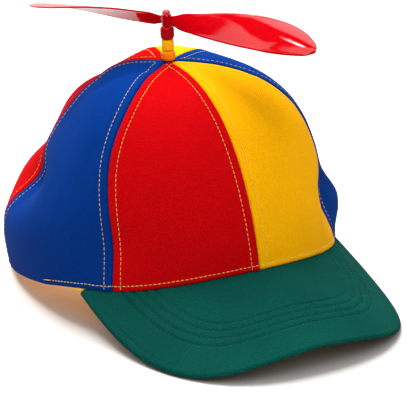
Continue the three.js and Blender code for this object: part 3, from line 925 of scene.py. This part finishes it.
# Moulded plastic that lets some light through
def makePlastic(name, deep, pale, glow, rough, ior):
    material, tree, shader = newMaterial(name, {
        "Subsurface Weight": glow, "Subsurface Radius": (0.004, 0.0015, 0.001), "Subsurface Scale": 0.5,
        "IOR": ior,
    })
    place = addNode(tree, "ShaderNodeTexCoord").outputs["Object"]
    cloud = makeNoise(tree, place, 160, 2)
    scuff = makeNoise(tree, place, 900, 4, 0.7)
    feed(tree, shader, {
        "Base Color": mixColours(tree, cloud, deep, pale),
        "Roughness": remap(tree, scuff, (0.4, 0.8), (rough, rough + 0.06)),
        "Normal": makeBump(tree, cloud, 0.15, 0.1 * mm),
    })
    return material


redPlastic = makePlastic("redPlastic", (0.33, 0, 0.001), (0.43, 0, 0.004), 0.1, 0.02, 1.62)
beadRed = makePlastic("beadRed", (0.32, 0, 0.002), (0.46, 0, 0.006), 0.1, 0.2, 1.22)
amberPlastic = makePlastic("amberPlastic", (0.95, 0.42, 0.001), (1.0, 0.55, 0.004), 0.2, 0.2, 1.22)
orangePlastic = makePlastic("orangePlastic", (1.0, 0.22, 0.001), (1.0, 0.32, 0.003), 0.2, 0.2, 1.22)
pinkPlastic = makePlastic("pinkPlastic", (0.5, 0.03, 0.06), (0.7, 0.12, 0.16), 0.3, 0.08, 1.4)

stackTurn = Vector((0, 0, 1)).rotation_difference(pinAxis).to_matrix().to_4x4()
stackPlace = Matrix.Translation(stackFoot) @ stackTurn


# A turned piece from a profile of (radius, height) points, which closes on itself or on the axis
def spinProfile(profile, sides=48, closed=True):
    bm = bmesh.new()
    corners = [bm.verts.new((radius, 0, height)) for radius, height in profile]
    edges = [bm.edges.new(pair) for pair in zip(corners, corners[1:])]
    if closed:
        edges.append(bm.edges.new((corners[-1], corners[0])))
    bmesh.ops.spin(
        bm, geom=corners + edges, axis=(0, 0, 1), cent=(0, 0, 0), angle=2 * math.pi, steps=sides,
        use_merge=True,
    )
    closeUp(bm)
    return bm


bead = dict(steps=20, shoulder=0.25 * mm, squareness=3, fullness=2.4, groove=0.12 * mm, grooveWidth=0.12)
beads = [
    dict(name="orange_glossy_bead", foot=0.6 * mm, height=5.3 * mm, radius=3.8 * mm, endRadius=3.0 * mm,
         grooved=True, material=orangePlastic, slot="orange_plastic", stands="orange_bead"),
    dict(name="amber_glossy_tube", foot=6.2 * mm, height=5.8 * mm, radius=3.35 * mm, endRadius=3.15 * mm,
         grooved=False, material=amberPlastic, slot="yellow_plastic", stands="yellow_tube"),
    dict(name="red_glossy_bead", foot=12.3 * mm, height=6.6 * mm, radius=3.8 * mm, endRadius=3.0 * mm,
         grooved=True, material=beadRed, slot="red_plastic", stands="red_bead"),
]


def makeBead(row):
    profile = [(stack["bore"], 0)]
    end = row["endRadius"] - bead["shoulder"]
    for i in range(bead["steps"] + 1):
        turn = -1 + 2 * i / bead["steps"]
        bulge = (1 - abs(turn) ** bead["squareness"]) ** (1 / bead["fullness"])
        barrel = end + (row["radius"] - end) * bulge
        if row["grooved"]:
            barrel -= bead["groove"] * bell(turn, 0, bead["grooveWidth"])
        profile.append((barrel, row["height"] * (0.5 + 0.5 * turn)))
    profile.append((stack["bore"], row["height"]))
    bm = spinProfile(profile)
    place = stackPlace @ Matrix.Translation((0, 0, row["foot"]))
    bmesh.ops.transform(bm, matrix=place, verts=bm.verts)
    makePiece(bm, row["name"], row["material"], [row["stands"]])


for row in beads:
    makeBead(row)

spindle = dict(
    shaft=1.3 * mm, flange=8 * mm, flangeThickness=1.5 * mm, flangeEdge=0.3 * mm, capFoot=25.7 * mm,
    capRadius=2.2 * mm, capSkirt=0.8 * mm, capHeight=2.4 * mm, capEdge=(0.1 * mm, 0.15 * mm), domeSteps=10,
)


def makeSpindle():
    s = spindle
    flange, edge = s["flange"], s["flangeEdge"]
    lean = flange * math.hypot(pinAxis.x, pinAxis.y)
    foot = (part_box("spindle")[0].z + lean - stackFoot.z) / pinAxis.z  # of the flange, along the pin
    head = foot + s["flangeThickness"]
    profile = [
        (0, foot), (flange - edge, foot), (flange, foot + edge),
        (flange, head - edge), (flange - edge, head), (s["shaft"], head),
        (s["shaft"], s["capFoot"]), (s["capRadius"] - s["capEdge"][0], s["capFoot"]),
        (s["capRadius"], s["capFoot"] + s["capEdge"][1]),
    ]
    for i in range(s["domeSteps"] + 1):
        turn = math.radians(90) * i / s["domeSteps"]
        rise = (s["capHeight"] - s["capSkirt"]) * math.sin(turn)
        profile.append((s["capRadius"] * math.cos(turn), s["capFoot"] + s["capSkirt"] + rise))
    bm = spinProfile(profile, closed=False)
    bmesh.ops.transform(bm, matrix=stackPlace, verts=bm.verts)
    makePiece(bm, "pink_pin", pinkPlastic, ["spindle"])


makeSpindle()
print("beads and pin turned")

# Propeller
blade = dict(
    span=190 * mm, width=30 * mm, thickness=1.1 * mm, camber=0.07, thinning=0.5, turn=-64, droop=2.5 * mm,
    hubHeight=6.2 * mm, hubRadius=2.7 * mm, hubEdge=0.35 * mm, sections=110, chordSteps=30,
    lip=0.22 * mm, lipWidth=0.7 * mm, edgeRound=0.45 * mm, tipRound=0.985, tipCrowding=1.5,
)
bladeTable = [  # hub is a share of the hub's height, blade and sweep are shares of the blade's width
    dict(out=0.0, hub=0.84, blade=0, sweep=0, pitch=68),
    dict(out=0.045, hub=0.9, blade=0, sweep=0, pitch=63),
    dict(out=0.1, hub=0.35, blade=0.235, sweep=0, pitch=56),
    dict(out=0.2, hub=0, blade=0.43, sweep=0, pitch=43),
    dict(out=0.35, hub=0, blade=0.66, sweep=-0.02, pitch=31),
    dict(out=0.5, hub=0, blade=0.86, sweep=-0.03, pitch=23),
    dict(out=0.65, hub=0, blade=0.96, sweep=0, pitch=17),
    dict(out=0.75, hub=0, blade=0.94, sweep=0.05, pitch=14.5),
    dict(out=0.85, hub=0, blade=0.79, sweep=0.12, pitch=13),
    dict(out=0.92, hub=0, blade=0.59, sweep=0.185, pitch=12),
    dict(out=0.97, hub=0, blade=0.38, sweep=0.23, pitch=12),
    dict(out=1.0, hub=0, blade=0.11, sweep=0.25, pitch=12),
]


# A place on the blade's skin: around runs once round its section, from the leading edge over the top
def bladePlace(out, around):
    b = blade
    chord = along(bladeTable, "out", out, "hub") * b["hubHeight"]
    chord += along(bladeTable, "out", out, "blade") * b["width"]
    if out > b["tipRound"]:
        chord *= math.sqrt(max(1 - ((out - b["tipRound"]) / (1 - b["tipRound"])) ** 2, 0))
    pitch = math.radians(along(bladeTable, "out", out, "pitch"))
    sweep = along(bladeTable, "out", out, "sweep") * b["width"]
    across = -0.5 * math.cos(2 * math.pi * around)
    top = 1 if around <= 0.5 else -1
    edge = (0.5 - abs(across)) * chord
    half = b["thickness"] / 2 * (1 - b["thinning"] * abs(2 * across) ** 3)
    half += b["lip"] * bell(edge, b["edgeRound"], b["lipWidth"])
    half *= math.sqrt(max(1 - (1 - min(edge / b["edgeRound"], 1)) ** 2, 0))
    camber = chord * b["camber"] * (1 - 4 * across * across)
    behind = chord * across - sweep
    up = camber + top * half
    return Vector((
        out * b["span"] / 2,
        behind * math.cos(pitch) - up * math.sin(pitch),
        behind * math.sin(pitch) + up * math.cos(pitch) - b["droop"] * out * out,
    ))


def makeBlade(turn):
    bm = bmesh.new()
    sections, ring = blade["sections"], 2 * blade["chordSteps"]
    bmesh.ops.create_grid(bm, x_segments=sections, y_segments=ring, size=0.5)
    for vertex in bm.verts:
        out = 1 - (0.5 - vertex.co.x) ** blade["tipCrowding"]
        vertex.co = bladePlace(out, vertex.co.y + 0.5)
    closeUp(bm, fillHoles=True)
    lift = Matrix.Translation((0, 0, blade["hubHeight"] / 2))
    bmesh.ops.transform(bm, matrix=Matrix.Rotation(turn, 4, "Z") @ lift, verts=bm.verts)
    return bm


def makePropeller():
    radius, height, bore, edge = blade["hubRadius"], blade["hubHeight"], stack["bore"], blade["hubEdge"]
    hub = toObject("hub", toMesh(spinProfile([
        (0, 0), (radius - 1.5 * edge, 0), (radius - edge, 0), (radius, edge), (radius, 1.5 * edge),
        (radius, height - 1.5 * edge), (radius, height - edge), (radius - edge, height),
        (radius - 1.5 * edge, height), (0, height),
    ], closed=False), "hub"))
    cutters = [toObject("blade", toMesh(makeBlade(turn), "blade")) for turn in (0, math.pi)]
    drill = [(0, -height), (bore, -height), (bore, 2 * height), (0, 2 * height)]
    cutters.append(toObject("hole", toMesh(spinProfile(drill, closed=False), "hole")))
    for cutter, operation in zip(cutters, ("UNION", "UNION", "DIFFERENCE")):
        join = hub.modifiers.new("join", "BOOLEAN")
        join.operation = operation
        join.object = cutter
        join.solver = "EXACT"
    bpy.context.view_layer.update()
    whole = hub.evaluated_get(bpy.context.evaluated_depsgraph_get())
    bm = bmesh.new()
    bm.from_mesh(bpy.data.meshes.new_from_object(whole))
    for made in cutters + [hub]:
        bpy.data.objects.remove(made)
    place = stackPlace @ Matrix.Translation((0, 0, stack["hubFoot"]))
    place = place @ Matrix.Rotation(math.radians(blade["turn"]), 4, "Z")
    bmesh.ops.transform(bm, matrix=place, verts=bm.verts)
    closeUp(bm)
    makePiece(bm, "glossy_propeller", redPlastic, ["propeller"], "spinner")


makePropeller()
print("propeller moulded")
